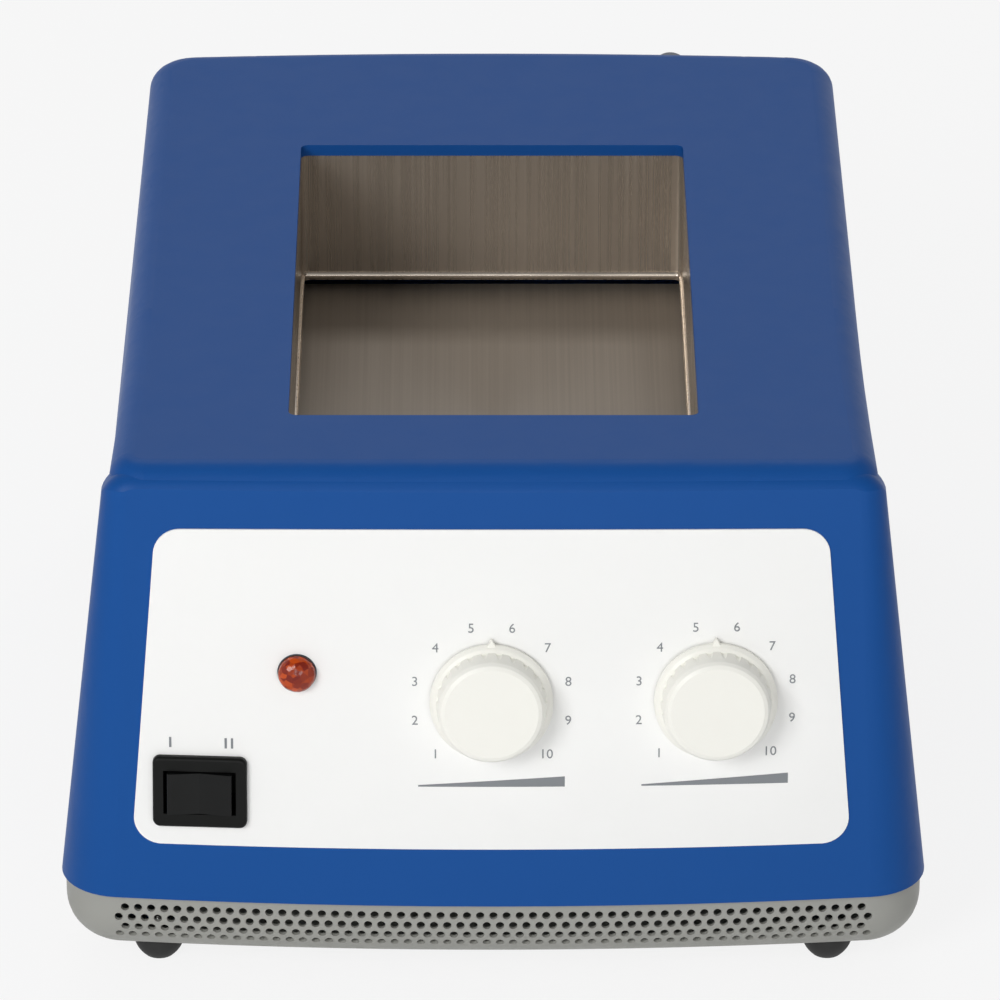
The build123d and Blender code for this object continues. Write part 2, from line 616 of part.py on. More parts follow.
def make_knob(plane):
    """Skirted knob with a raised cap, ribbed side, pointer nib and a collet bore."""
    skirt_r = KNOB_SKIRT_D / 2
    cap_r = KNOB_CAP_D / 2
    low = KNOB_GAP
    body = turned([(0, low), (skirt_r - 0.3, low), (skirt_r, low + 0.3), (skirt_r, low + 1.2),
                   (skirt_r - 0.7, low + 1.9), (cap_r + 0.9, low + 2.3), (cap_r + 0.3, KNOB_H - 1.2),
                   (cap_r - 0.3, KNOB_H - 0.4), (cap_r - 1.2, KNOB_H), (0, KNOB_H)])
    nib = Pos(0, skirt_r - 1.0, low) * extrude(RegularPolygon(2.4, 3, rotation=90), 1.6)
    body += nib
    # hollow underside, clear of the nut, with a hub for the spindle
    body -= turned([(0, low - 1), (cap_r - 1.6, low - 1), (cap_r - 1.9, KNOB_H - 1.8), (0, KNOB_H - 1.8)])
    hub = post(5.2, 2.2, KNOB_H - 1.0) - post(SPINDLE_D / 2, 0, KNOB_H - 2.5)
    key = Pos(0, 4.2, KNOB_H - 4.1) * Box(4.6, 5, 3.2)
    hub += key & post(5.0, 2.2, KNOB_H - 1.0)
    body += hub
    flute = Pos(0, cap_r + 1.6, 0) * post(1.1, low + 2.4, KNOB_H - 1.6)
    for i in range(24):
        body -= Rot(0, 0, 7.5 + 15 * i) * flute
    return on_panel(plane, body)


def switch_plane():
    return panel_plane(SWITCH_X, SWITCH_Z)


def make_switch_body():
    """Snap-in rocker switch housing with a rounded bezel and two cheeks for the pivot."""
    bezel = Pos(0, 0, 0) * extrude(RectangleRounded(SWITCH_W, SWITCH_H, 1.8), 1.8)
    bezel = fillet(bezel.faces().sort_by(Axis.Z)[-1].edges(), 0.9)
    housing = extrude(RectangleRounded(SWITCH_W - 3.6, SWITCH_H - 3.6, 0.8), -19)
    body = bezel + housing
    pocket_w = ROCKER_W + 2 * ROCKER_SWING_GAP
    pocket_h = ROCKER_H + 2 * ROCKER_GAP
    body -= Pos(0, 0, -4.6) * Box(pocket_w, pocket_h, 15)
    body -= Pos(0, 0, ROCKER_PIVOT) * Rot(90, 0, 0) * Cylinder(ROCKER_PIN_D / 2 + PIN_FIT, pocket_h + 2.4)
    for sx in (-1, 1):
        clip = Pos(sx * (SWITCH_W / 2 - 1.8), 0, -6.6) * Box(1.2, 5, 4)
        body += clip
    for x, y in contact_spots():
        body -= Pos(x, y, -17) * Box(0.8, 4.6, 8)
    return on_panel(switch_plane(), body)


def contact_spots():
    return [(x, y) for x in (-6, 0, 6) for y in (-3.4, 3.4)]


def make_switch_rocker():
    """Three-position rocker, centred, rocking left and right about an upright pin."""
    half = ROCKER_W / 2
    top = 2.5
    with BuildPart() as part:
        with BuildSketch(Plane.XZ):
            with BuildLine():
                Polyline((-half, top + 0.9), (0, top - 0.5), (half, top + 0.9), (half - 0.9, 0.5),
                         (half - 1.6, -4.5), (3.2, -8), (-3.2, -8), (-half + 1.6, -4.5),
                         (-half + 0.9, 0.5), close=True)
            make_face()
        extrude(amount=ROCKER_H / 2, both=True)
    rocker = part.part
    long_edges = rocker.edges().filter_by(Axis.Y).group_by(Axis.Z)[-1]
    rocker = fillet(long_edges, 0.7)
    rocker += Pos(0, 0, ROCKER_PIVOT) * Rot(90, 0, 0) * Cylinder(ROCKER_PIN_D / 2, ROCKER_H + 2.4)
    return on_panel(switch_plane(), rocker)


def make_switch_contacts():
    plane = switch_plane()
    tags = []
    for x, y in contact_spots():
        tags.append(on_panel(plane, Pos(x, y, -19.5) * Box(0.8, 4.6, 12)))
    return tags


def lamp_plane():
    return panel_plane(LAMP_X, LAMP_Z)


def make_lamp_lens():
    r = LAMP_D / 2 - 0.15
    dome = [(r * math.cos(math.radians(a)), 1.2 + 2.6 * math.sin(math.radians(a))) for a in range(0, 90, 15)]
    lens = turned([(0, -1.4), (LENS_PLUG_R, -1.4), (LENS_PLUG_R, 0.6), (r, 0.6)] + dome + [(0, 3.8)])
    return on_panel(lamp_plane(), lens)


def make_lamp_body():
    r = LAMP_D / 2 - 0.6
    body = turned([(0, -22), (r - 0.4, -22), (r - 0.4, -6), (r, -5), (r, 0), (LAMP_D / 2, 0),
                   (LAMP_D / 2, 0.6), (LENS_PLUG_R, 0.6), (LENS_PLUG_R, -1.4), (0, -1.4)])
    for x in (-1.6, 1.6):
        body += Pos(x, 0, -25) * Box(0.7, 2.2, 6)
    return on_panel(lamp_plane(), body)


def make_lamp_clip():
    clip = post(7, PANEL_BACK - 1.0, PANEL_BACK - 0.1) - post(LAMP_D / 2 - 0.6, PANEL_BACK - 2, PANEL_BACK)
    return on_panel(lamp_plane(), clip)


def make_control_board():
    board = slab(BOARD_W, BOARD_L, BOARD_Z, BOARD_Z + BOARD_T, BOARD_X, BOARD_Y, 2)
    for x, y in board_posts():
        board -= post(1.7, 0, 40, x, y)
    for dx in TRIAC_LEGS:
        board -= post(0.75, 0, 40, TRIAC_X + dx, TRIAC_Y)
    return board


def make_board_standoffs():
    return [post(3, PAN_FLOOR_Z, BOARD_Z, x, y) - post(1.3, PAN_FLOOR_Z, BOARD_Z, x, y)
            for x, y in board_posts()]


def make_board_screws():
    drive = screw(5.4, 1.9, 2.6, 5)
    upper = [Pos(x, y, BOARD_Z + BOARD_T) * Rot(180, 0, 0) * drive for x, y in board_posts()]
    lower = [Pos(x, y, PAN_BOTTOM_Z) * screw(5.4, 1.8, 2.6, 5) for x, y in board_posts()]
    return upper + lower


BOARD_TOP = BOARD_Z + BOARD_T


def make_transformer():
    x, y = BOARD_RIGHT - 79, BOARD_Y
    core = slab(28, 24, BOARD_TOP, BOARD_TOP + 20, x, y, 1)
    core += slab(20, 30, BOARD_TOP + 3, BOARD_TOP + 17, x, y, 3)
    return core


def make_triac():
    x, y = TRIAC_X, TRIAC_Y
    body = slab(10.2, 4.5, BOARD_TOP + 5, BOARD_TOP + 14, x, y)
    body += slab(10.2, 1.3, BOARD_TOP + 14, BOARD_TOP + 20.5, x, y + 1.6)
    for dx in TRIAC_LEGS:
        body += slab(0.9, 0.6, BOARD_Z - 1.2, BOARD_TOP + 5, x + dx, y)
    return body


def make_heatsink():
    x, y = TRIAC_X, TRIAC_Y + 2.25
    sink = slab(30, 2, BOARD_TOP, BOARD_TOP + 26, x, y + 1)
    for i in range(6):
        sink += slab(1.4, 8, BOARD_TOP, BOARD_TOP + 26, x - 14.3 + i * 5.72, y + 6)
    return sink


def make_fuse_holder():
    x, y = TRIAC_X, BOARD_Y - 11
    base = slab(26, 9, BOARD_TOP, BOARD_TOP + 4, x, y, 1)
    for sx in (-1, 1):
        base += slab(5, 7, BOARD_TOP + 4, BOARD_TOP + 10, x + sx * 9, y)
    base -= Pos(x, y, BOARD_TOP + 8) * Rot(0, 90, 0) * Cylinder(2.65, 40)
    return base


def make_fuse():
    x, y = TRIAC_X, BOARD_Y - 11
    return Pos(x, y, BOARD_TOP + 8) * Rot(0, 90, 0) * Cylinder(2.6, 20)


def make_terminal_block():
    x, y = BOARD_RIGHT - 13, BOARD_Y
    block = slab(9, 26, BOARD_TOP, BOARD_TOP + 11, x, y)
    for i in range(5):
        block -= post(1.8, BOARD_TOP + 6, BOARD_TOP + 12, x, y - 10 + 5 * i)
    return block


def inlet_face_y():
    """Seat of the inlet flange, just inside the rear wall's surface."""
    tan_rear = (REAR_BOTTOM_Y - REAR_TOP_Y) / SPLIT_DROP
    high = INLET_Z + INLET_FLANGE_H / 2 + 1.5
    bow = (INLET_X + INLET_FLANGE_W / 2) ** 2 / (2 * REAR_BOW_R)
    return REAR_TOP_Y + (DECK_Z - high) * tan_rear - bow - 0.6


def inlet_place():
    return Pos(INLET_X, inlet_face_y(), INLET_Z) * Rot(-90, 0, 0)


def make_mains_inlet():
    """Three-pin appliance inlet: flange outside, body and tags inside the rear wall."""
    flange = extrude(RectangleRounded(INLET_FLANGE_W, INLET_FLANGE_H, 3), 2.4)
    body = extrude(RectangleRounded(INLET_BODY_W, INLET_BODY_H, 1.5), -INLET_DEPTH - 4)
    inlet = flange + body
    with BuildSketch() as mouth:
        with BuildLine():
            Polyline((-12.0, 4.6), (-8.6, 8.0), (8.6, 8.0), (12.0, 4.6), (12.0, -8.0), (-12.0, -8.0),
                     close=True)
        make_face()
        fillet(mouth.vertices(), 0.6)
    inlet -= Pos(0, 0, -INLET_DEPTH + 2.4) * extrude(mouth.sketch, INLET_DEPTH + 1)
    for sx in (-1, 1):
        inlet -= Pos(sx * INLET_HOLE_SPAN / 2, 0, 0) * Cylinder(SCREW_D / 2 + 0.15, 12)
        inlet -= Pos(sx * INLET_HOLE_SPAN / 2, 0, 2.4) * Cylinder(3.0, 2.2)
    for x, y in inlet_pin_spots():
        inlet -= Pos(x, y, -INLET_DEPTH - 1) * Box(2.0, 4.0, 12)
    return inlet_place() * inlet


def inlet_pin_spots():
    return [(-7.0, -2.0), (0.0, 2.0), (7.0, -2.0)]


def make_inlet_pins():
    pins = []
    for x, y in inlet_pin_spots():
        pins.append(inlet_place() * Pos(x, y, -INLET_DEPTH / 2 - 5.5) * Box(2.0, 4.0, 25))
    return pins


def make_inlet_screws():
    drive = Rot(180, 0, 0) * screw(5.4, 1.4, SCREW_D - 0.1, 10)
    return [inlet_place() * Pos(sx * INLET_HOLE_SPAN / 2, 0, 1.3) * drive for sx in (-1, 1)]


def make_inlet_nuts():
    nut = hex_nut(5.5, 2.4, SCREW_D - 0.1)
    return [inlet_place() * Pos(sx * INLET_HOLE_SPAN / 2, 0, -7.4) * nut for sx in (-1, 1)]


def make_earth_stud():
    stud = Pos(EARTH_X, EARTH_Y, PAN_BOTTOM_Z) * screw(7.5, 1.8, 4.0, 16)
    return stud


def make_earth_nuts():
    low = PAN_FLOOR_Z
    nut = hex_nut(7.0, 3.0, 4.0)
    washer = post(4.4, 0, 0.8) - post(2.0, 0, 0.8)
    return [Pos(EARTH_X, EARTH_Y, low) * washer, Pos(EARTH_X, EARTH_Y, low + 0.8) * nut,
            Pos(EARTH_X, EARTH_Y, low + 6.0) * nut]


def foot_spots():
    return [(sx * FOOT_X, y) for sx in (-1, 1) for y in (FOOT_FRONT_Y, FOOT_REAR_Y)]


def make_rubber_feet():
    r = FOOT_D / 2
    foot = turned([(0, 0), (r - 1.9, 0), (r - 1.2, 0.5), (r - 0.3, 3.4), (r, 5.0), (r, FOOT_H), (0, FOOT_H)])
    foot -= post(3.2, 0, 3.4)
    foot -= post(SCREW_D / 2, 0, FOOT_H)
    return [Pos(x, y, 0) * foot for x, y in foot_spots()]


def make_foot_screws():
    spots = []
    for x, y in foot_spots():
        spots.append(Pos(x, y, 3.4) * screw(5.6, 1.8, SCREW_D - 0.1, 7.5))
        spots.append(Pos(x, y, PAN_FLOOR_Z) * hex_nut(5.5, 2.4, SCREW_D - 0.1))
    return spots


def make_cover_screws():
    return [Pos(sx * BOSS_X, y, PAN_BOTTOM_Z) * screw(5.8, 2.0, SCREW_D - 0.5, 14)
            for sx in (-1, 1) for y in BOSS_Y]


def rear_plug_place():
    tan_rear = (REAR_BOTTOM_Y - REAR_TOP_Y) / SPLIT_DROP
    z = DECK_Z - 8.8
    y = REAR_TOP_Y + (DECK_Z - z) * tan_rear - PLUG_X ** 2 / (2 * REAR_BOW_R)
    return Pos(PLUG_X, y, z) * Rot(math.degrees(math.atan(tan_rear)) - 90, 0, 0)


def make_rear_plug():
    r = PLUG_D / 2
    plug = turned([(0, -6.6), (2.4, -6.6), (3.0, -5.8), (3.0, 0.2), (r, 0.2),
                   (r, PLUG_PROUD - 1.6), (r - 0.5, PLUG_PROUD - 0.5), (r - 1.6, PLUG_PROUD), (0, PLUG_PROUD)])
    return rear_plug_place() * plug


def save(name, shape):
    solids = []
    items = shape if isinstance(shape, (list, tuple)) else [shape]
    for item in items:
        solids += list(item.solids())
    whole = solids[0] if len(solids) == 1 else Compound(children=solids)
    whole.label = name
    export_step(whole, "parts/" + name + ".step")
    box = whole.bounding_box()
    print("%-18s solids %d  x %.1f %.1f  y %.1f %.1f  z %.1f %.1f" % (
        name, len(solids), box.min.X, box.max.X, box.min.Y, box.max.Y, box.min.Z, box.max.Z))


low_plane, high_plane = dial_planes()
save("top_cover", make_top_cover())
save("front_label", make_front_label())
save("base_pan", make_base_pan())
save("well_liner", make_well_liner())
save("heater_plate", make_heater_plate())
save("heating_element", make_heating_element())
save("insulation_pad", make_insulation_pad())
save("heater_tray", make_heater_tray())
save("tray_spacers", make_tray_spacers())
save("plate_screws", make_plate_screws())
save("tray_screws", make_tray_screws())
save("thermal_cutout", make_thermal_cutout())
save("plate_sensor", make_plate_sensor())
save("pot_low", make_pot(low_plane))
save("pot_high", make_pot(high_plane))
save("pot_nuts", make_pot_nuts())
save("spindle_low", make_spindle(low_plane))
save("spindle_high", make_spindle(high_plane))
save("knob_low", make_knob(low_plane))
save("knob_high", make_knob(high_plane))
save("switch_body", make_switch_body())
save("switch_rocker", make_switch_rocker())
save("switch_contacts", make_switch_contacts())
save("lamp_lens", make_lamp_lens())
save("lamp_body", make_lamp_body())
save("lamp_clip", make_lamp_clip())
save("control_board", make_control_board())
save("board_standoffs", make_board_standoffs())
save("board_screws", make_board_screws())
save("transformer", make_transformer())
save("triac", make_triac())
save("heatsink", make_heatsink())
save("fuse_holder", make_fuse_holder())
save("fuse", make_fuse())
save("terminal_block", make_terminal_block())
save("mains_inlet", make_mains_inlet())
save("inlet_pins", make_inlet_pins())
save("inlet_screws", make_inlet_screws())
save("inlet_nuts", make_inlet_nuts())
save("earth_stud", make_earth_stud())
save("earth_nuts", make_earth_nuts())
save("rubber_feet", make_rubber_feet())
save("foot_screws", make_foot_screws())
save("cover_screws", make_cover_screws())
save("rear_plug", make_rear_plug())

for name, plane in (("low dial", low_plane), ("high dial", high_plane), ("switch", switch_plane())):
    print(name, "origin", [round(v, 3) for v in tuple(plane.origin)],
          "out", [round(v, 5) for v in tuple(plane.z_dir)],
          "up", [round(v, 5) for v in tuple(plane.y_dir)])
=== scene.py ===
import math
import bmesh
import bpy
from mathutils import Matrix, Vector


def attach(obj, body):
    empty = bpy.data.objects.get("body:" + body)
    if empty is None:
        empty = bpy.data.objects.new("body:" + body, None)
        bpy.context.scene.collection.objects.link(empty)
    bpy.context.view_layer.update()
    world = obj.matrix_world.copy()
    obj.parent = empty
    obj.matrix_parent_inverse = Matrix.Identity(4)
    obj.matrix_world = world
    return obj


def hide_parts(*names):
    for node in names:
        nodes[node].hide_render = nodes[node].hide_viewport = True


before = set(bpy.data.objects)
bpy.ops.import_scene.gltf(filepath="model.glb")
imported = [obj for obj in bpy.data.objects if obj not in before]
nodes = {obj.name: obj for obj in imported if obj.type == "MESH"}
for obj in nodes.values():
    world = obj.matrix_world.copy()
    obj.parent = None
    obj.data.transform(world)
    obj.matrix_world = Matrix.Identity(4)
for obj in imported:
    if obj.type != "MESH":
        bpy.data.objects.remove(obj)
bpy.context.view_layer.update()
scene = bpy.context.scene

# Sizes repeated from part.py, in millimetres
MM = 0.001
DECK_Z = 134.1
SPLIT_Z = 24.3
SPLIT_DROP = DECK_Z - SPLIT_Z
CONSOLE_HALF_TOP = 91.83
CONSOLE_HALF_BOTTOM = 104.45
FRAME_EDGE_TOP_R = 5.5
FRAME_EDGE_BOTTOM_R = 15.0
CREASE_Y = -116.5
PANEL_SLOPE = math.tan(math.radians(8.0))
FRONT_BOW_R = 920.0
LABEL_PROUD = 1.1
DIAL_Z = DECK_Z - 57.3
DIAL_XS = {"low": -0.5, "high": 52.8}
DIAL_SWEEP = 270.0
SWITCH_X = -70.1
SWITCH_Z = DECK_Z - 80.95
SWITCH_H = 18.1
WELL_Y = -11.3
FOOT_SPOTS = [(sx * 81.3, sy * 112.5) for sx in (-1, 1) for sy in (-1, 1)]
FOOT_TOP_Z = 6.4
FOOT_R = 6.35
FOOT_RECESS_R = 3.2
FOOT_RECESS_TOP = 3.35
FOOT_HOLE_R = 1.5


def bow_at(x, z):
    """How far the panel's bow sets a point back from the crease's plane."""
    share = (DECK_Z - z) / SPLIT_DROP
    widest_top = CONSOLE_HALF_TOP - FRAME_EDGE_TOP_R
    widest_bottom = CONSOLE_HALF_BOTTOM - FRAME_EDGE_BOTTOM_R
    x_bottom = x * widest_bottom / (widest_top * (1 - share) + widest_bottom * share)
    return share * x_bottom ** 2 / (2 * FRONT_BOW_R)


def on_label(x, z, proud):
    """Point in metres on the label, or proud of it, from its place on the panel in millimetres."""
    y = CREASE_Y - (DECK_Z - z) * PANEL_SLOPE + bow_at(x, z) - LABEL_PROUD - proud
    return Vector((x * MM, y * MM, z * MM))


# Materials: colours are written as sRGB, from 0 to 255, and turned linear here
MIX_FACTOR = 0
MIX_FIRST = 6
MIX_SECOND = 7
MIX_COLOUR = 2
NOISE_LOW = 0.3
NOISE_HIGH = 0.7


def linear(r, g, b):
    made = []
    for c in (r, g, b):
        c = c / 255.0
        made.append(c / 12.92 if c <= 0.04045 else ((c + 0.055) / 1.055) ** 2.4)
    return (made[0], made[1], made[2], 1.0)


def shades(colour, share):
    """The colour made darker and lighter by a share."""
    base = linear(*colour)
    dark = tuple(c * (1.0 - share) for c in base[:3]) + (1.0,)
    light = tuple(min(1.0, c * (1.0 + share)) for c in base[:3]) + (1.0,)
    return dark, light


class NodeTree:
    """Short calls that add nodes to a shader tree and join them."""

    def __init__(self, tree):
        self.tree = tree

    def add(self, kind, **values):
        made = self.tree.nodes.new(kind)
        for key, value in values.items():
            setattr(made, key, value)
        return made

    def join(self, a, b):
        self.tree.links.new(a, b)

    def maths(self, operation, a, b):
        made = self.add("ShaderNodeMath", operation=operation)
        for value, socket in ((a, made.inputs[0]), (b, made.inputs[1])):
            if isinstance(value, (int, float)):
                socket.default_value = value
            else:
                self.join(value, socket)
        return made.outputs[0]

    def remap(self, value, from_low, from_high, to_low, to_high):
        made = self.add("ShaderNodeMapRange")
        made.inputs["From Min"].default_value = from_low
        made.inputs["From Max"].default_value = from_high
        made.inputs["To Min"].default_value = to_low
        made.inputs["To Max"].default_value = to_high
        self.join(value, made.inputs["Value"])
        return made.outputs["Result"]

    def seen_directly(self):
        """1 for camera, glossy and transmission rays, 0 for the light that surfaces gather."""
        path = self.add("ShaderNodeLightPath")
        seen = self.maths("MAXIMUM", path.outputs["Is Camera Ray"], path.outputs["Is Glossy Ray"])
        return self.maths("MAXIMUM", seen, path.outputs["Is Transmission Ray"])


class Material(NodeTree):
    """A procedural material round one Principled BSDF."""

    def __init__(self, name):
        self.mat = bpy.data.materials.new(name)
        self.mat.use_nodes = True
        super().__init__(self.mat.node_tree)
        self.bsdf = self.tree.nodes["Principled BSDF"]
        self.out = self.tree.nodes["Material Output"]
        self.place = self.add("ShaderNodeTexCoord").outputs["Object"]

    def noise(self, scale, detail, rough=0.5, stretch=None):
        made = self.add("ShaderNodeTexNoise")
        made.inputs["Scale"].default_value = scale
        made.inputs["Detail"].default_value = detail
        made.inputs["Roughness"].default_value = rough
        place = self.place
        if stretch:
            mapping = self.add("ShaderNodeMapping")
            mapping.inputs["Scale"].default_value = stretch
            self.join(place, mapping.inputs["Vector"])
            place = mapping.outputs["Vector"]
        self.join(place, made.inputs["Vector"])
        return made.outputs["Fac"]

    def mix(self, factor, first, second):
        made = self.add("ShaderNodeMix", data_type="RGBA")
        self.join(factor, made.inputs[MIX_FACTOR])
        made.inputs[MIX_FIRST].default_value = first
        made.inputs[MIX_SECOND].default_value = second
        return made.outputs[MIX_COLOUR]

    def spread(self, noise, low, high):
        return self.remap(noise, NOISE_LOW, NOISE_HIGH, low, high)

    def bump(self, height, strength, distance):
        made = self.add("ShaderNodeBump")
        made.inputs["Strength"].default_value = strength
        made.inputs["Distance"].default_value = distance
        self.join(height, made.inputs["Height"])
        self.join(made.outputs["Normal"], self.bsdf.inputs["Normal"])

    def colour(self, source):
        self.join(source, self.bsdf.inputs["Base Color"])

    def rough(self, source):
        self.join(source, self.bsdf.inputs["Roughness"])

    def set(self, **values):
        for key, value in values.items():
            self.bsdf.inputs[key.replace("_", " ")].default_value = value


def plain(name, colour, rough=0.4, metal=0.0, grain=900.0, bump=0.15, depth=0.00003, spread=0.06,
          mottle=0.05, **more):
    """Moulded, painted or cast stuff: its colour and gloss vary a little, and it has a fine grain."""
    m = Material(name)
    m.colour(m.mix(m.noise(60.0, 4.0), *shades(colour, mottle)))
    m.rough(m.spread(m.noise(140.0, 3.0), rough - spread, rough + spread))
    m.bump(m.noise(grain, 2.0), bump, depth)
    m.set(Metallic=metal, **more)
    return m.mat


def brushed(name, colour, stretch, rough, metal, contrast=0.12):
    """Brushed sheet metal: fine lines along one way."""
    m = Material(name)
    lines = m.noise(1.0, 2.0, 0.6, stretch)
    m.colour(m.mix(m.spread(lines, 0.0, 1.0), *shades(colour, contrast)))
    m.rough(m.spread(lines, rough - 0.08, rough + 0.10))
    m.bump(lines, 0.25, 0.00002)
    m.set(Metallic=metal, Anisotropic=0.5)
    return m.mat


def faceted(name, dark, light):
    """Coloured lens moulded with small facets on its inner face; each facet is painted a random
    brightness between the dark and the light colour, a painted glint in place of the light the facets
    catch.
    """
    m = Material(name)
    cells = m.add("ShaderNodeTexVoronoi")
    cells.inputs["Scale"].default_value = 640.0
    m.join(m.place, cells.inputs["Vector"])
    facet_glint = m.add("ShaderNodeSeparateColor")
    m.join(cells.outputs["Color"], facet_glint.inputs[0])
    # Painted glints: each facet's colour is picked at random between dark red and orange
    m.colour(m.mix(facet_glint.outputs[0], linear(*dark), linear(*light)))
    m.rough(m.spread(m.noise(300.0, 2.0), 0.06, 0.12))
    m.bump(cells.outputs["Distance"], 0.5, 0.0003)
    m.set(Transmission_Weight=0.4, IOR=1.49, Specular_IOR_Level=0.3)
    return m.mat


def dress(mat, *names):
    """Give carried-over nodes a material."""
    for name in names:
        slots = nodes[name].material_slots
        for slot in slots:
            slot.material = mat
        if not slots:
            nodes[name].data.materials.append(mat)


# Materials of the outside
ACROSS_WALL = (1300.0, 1300.0, 5.0)
ACROSS_PLATE = (1300.0, 5.0, 1300.0)
ALONG_HEM = (60.0, 60.0, 1300.0)
blue = plain("cover_blue", (18, 79, 152), rough=0.46, grain=2600.0, bump=0.12, depth=0.00005,
             mottle=0.006, spread=0.02, Specular_IOR_Level=0.16)
white = plain("label_white", (252, 252, 250), rough=0.42, grain=3000.0, bump=0.05, mottle=0.006)
grey = plain("pan_grey", (160, 160, 154), rough=0.5, grain=1100.0, bump=0.12, mottle=0.02)
steel_wall = brushed("liner_steel", (184, 173, 160), ACROSS_WALL, rough=0.28, metal=0.7, contrast=0.08)
steel_plate = brushed("plate_metal", (148, 138, 126), ACROSS_PLATE, rough=0.46, metal=0.3)
steel_hem = brushed("hem_steel", (225, 214, 200), ALONG_HEM, rough=0.2, metal=0.9)
ivory = plain("knob_white", (252, 251, 243), rough=0.4, grain=1500.0, bump=0.06, mottle=0.008)
black = plain("switch_black", (15, 16, 15), rough=0.42, grain=1400.0, bump=0.12, mottle=0.08,
              Specular_IOR_Level=0.14)
rocker_black = plain("rocker_black", (17, 18, 18), rough=0.34, grain=1400.0, bump=0.08, mottle=0.08,
                     Specular_IOR_Level=0.18)
# The lens runs from dark red to orange across its facets, as painted glints
red = faceted("lens_red", (140, 18, 0), (246, 96, 14))
rubber = plain("foot_rubber", (22, 22, 22), rough=0.7, grain=1200.0, bump=0.3, mottle=0.12)
ink = plain("mark_ink", (128, 132, 136), rough=0.5, grain=3000.0, bump=0.03, mottle=0.03)
dress(blue, "top_cover")
dress(white, "front_label")
dress(grey, "base_pan")
dress(steel_wall, "well_liner")
dress(steel_plate, "heater_plate")
dress(ivory, "knob_low", "knob_high")
dress(black, "switch_body")
dress(rocker_black, "switch_rocker")
dress(red, "lamp_lens")
dress(rubber, "rubber_feet")
dress(plain("plug_grey", (110, 115, 125), rough=0.4), "rear_plug")

# Materials of the inside
dress(plain("element_silicone", (170, 70, 40), rough=0.5), "heating_element")
dress(plain("insulation_fibre", (226, 222, 206), rough=0.9, grain=700.0, bump=0.6), "insulation_pad")
dress(plain("zinc_steel", (176, 178, 180), rough=0.35, metal=1.0), "heater_tray")
dress(plain("ceramic_white", (236, 234, 226), rough=0.3), "tray_spacers")
dress(plain("screw_steel", (180, 180, 178), rough=0.28, metal=1.0), "plate_screws", "tray_screws",
      "board_screws", "inlet_screws", "foot_screws", "cover_screws")
dress(plain("cutout_phenolic", (40, 36, 34), rough=0.5), "thermal_cutout")
dress(plain("sensor_steel", (170, 172, 174), rough=0.3, metal=1.0), "plate_sensor")
dress(plain("pot_metal", (170, 170, 166), rough=0.35, metal=1.0), "pot_low", "pot_high")
dress(plain("nut_steel", (185, 185, 182), rough=0.3, metal=1.0), "pot_nuts", "inlet_nuts")
dress(plain("spindle_brass", (196, 160, 90), rough=0.3, metal=1.0), "spindle_low", "spindle_high",
      "switch_contacts", "board_standoffs", "earth_stud", "earth_nuts")
dress(plain("lamp_black", (30, 30, 30), rough=0.45), "lamp_body")
dress(plain("clip_steel", (180, 180, 178), rough=0.3, metal=1.0), "lamp_clip")
dress(plain("board_green", (30, 90, 50), rough=0.4), "control_board")
dress(plain("transformer_black", (32, 32, 34), rough=0.5), "transformer")
dress(plain("triac_black", (26, 26, 26), rough=0.45), "triac")
dress(plain("heatsink_aluminium", (190, 192, 194), rough=0.4, metal=1.0), "heatsink")
dress(plain("fuse_holder_black", (30, 30, 30), rough=0.45), "fuse_holder")
dress(plain("fuse_glass", (210, 214, 212), rough=0.15), "fuse")
dress(plain("terminal_green", (40, 120, 70), rough=0.45), "terminal_block")
dress(plain("inlet_black", (24, 24, 24), rough=0.42), "mains_inlet")
dress(plain("pin_nickel", (200, 196, 184), rough=0.25, metal=1.0), "inlet_pins")


def add_piece(name, mesh, mat):
    """A piece of this scene's own, fixed to the body."""
    mesh.materials.clear()
    mesh.materials.append(mat)
    piece = bpy.data.objects.new(name, mesh)
    scene.collection.objects.link(piece)
    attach(piece, "body")
    return piece


def mesh_from(made, name):
    """Mesh of a drawn piece, with its normals turned outward."""
    bmesh.ops.recalc_face_normals(made, faces=made.faces)
    mesh = bpy.data.meshes.new(name)
    made.to_mesh(mesh)
    made.free()
    return mesh


def mesh_of_curve(curve, name):
    """Mesh of a curve or a text, which is removed afterwards."""
    draft = bpy.data.objects.new("draft", curve)
    scene.collection.objects.link(draft)
    bpy.context.view_layer.update()
    shown = draft.evaluated_get(bpy.context.evaluated_depsgraph_get())
    mesh = bpy.data.meshes.new_from_object(shown)
    mesh.name = name
    bpy.data.objects.remove(draft)
    bpy.data.curves.remove(curve)
    return mesh


def join_rings(made, a, b):
    """Faces between two rings of as many points."""
    for i in range(len(a)):
        j = (i + 1) % len(a)
        made.faces.new((a[i], a[j], b[j], b[i]))


# Feet: domed rubber, in the place of the plain ones, with the screw's recess below
FOOT_EDGE = 0.3
FOOT_SHOULDER_Z = FOOT_TOP_Z - FOOT_EDGE
FOOT_DOME = 7.3
FOOT_DOME_STEPS = 14
FOOT_DOME_END_Z = 0.25
FOOT_TREAD = ((0.1, 0.3), (-0.15, 0.05), (-0.45, 0.0))
FOOT_RECESS_EDGE = 0.2
FOOT_SEGMENTS = 64


def foot_dome_r(z):
    return FOOT_R * math.sqrt(1 - ((FOOT_SHOULDER_Z - z) / FOOT_DOME) ** 2)


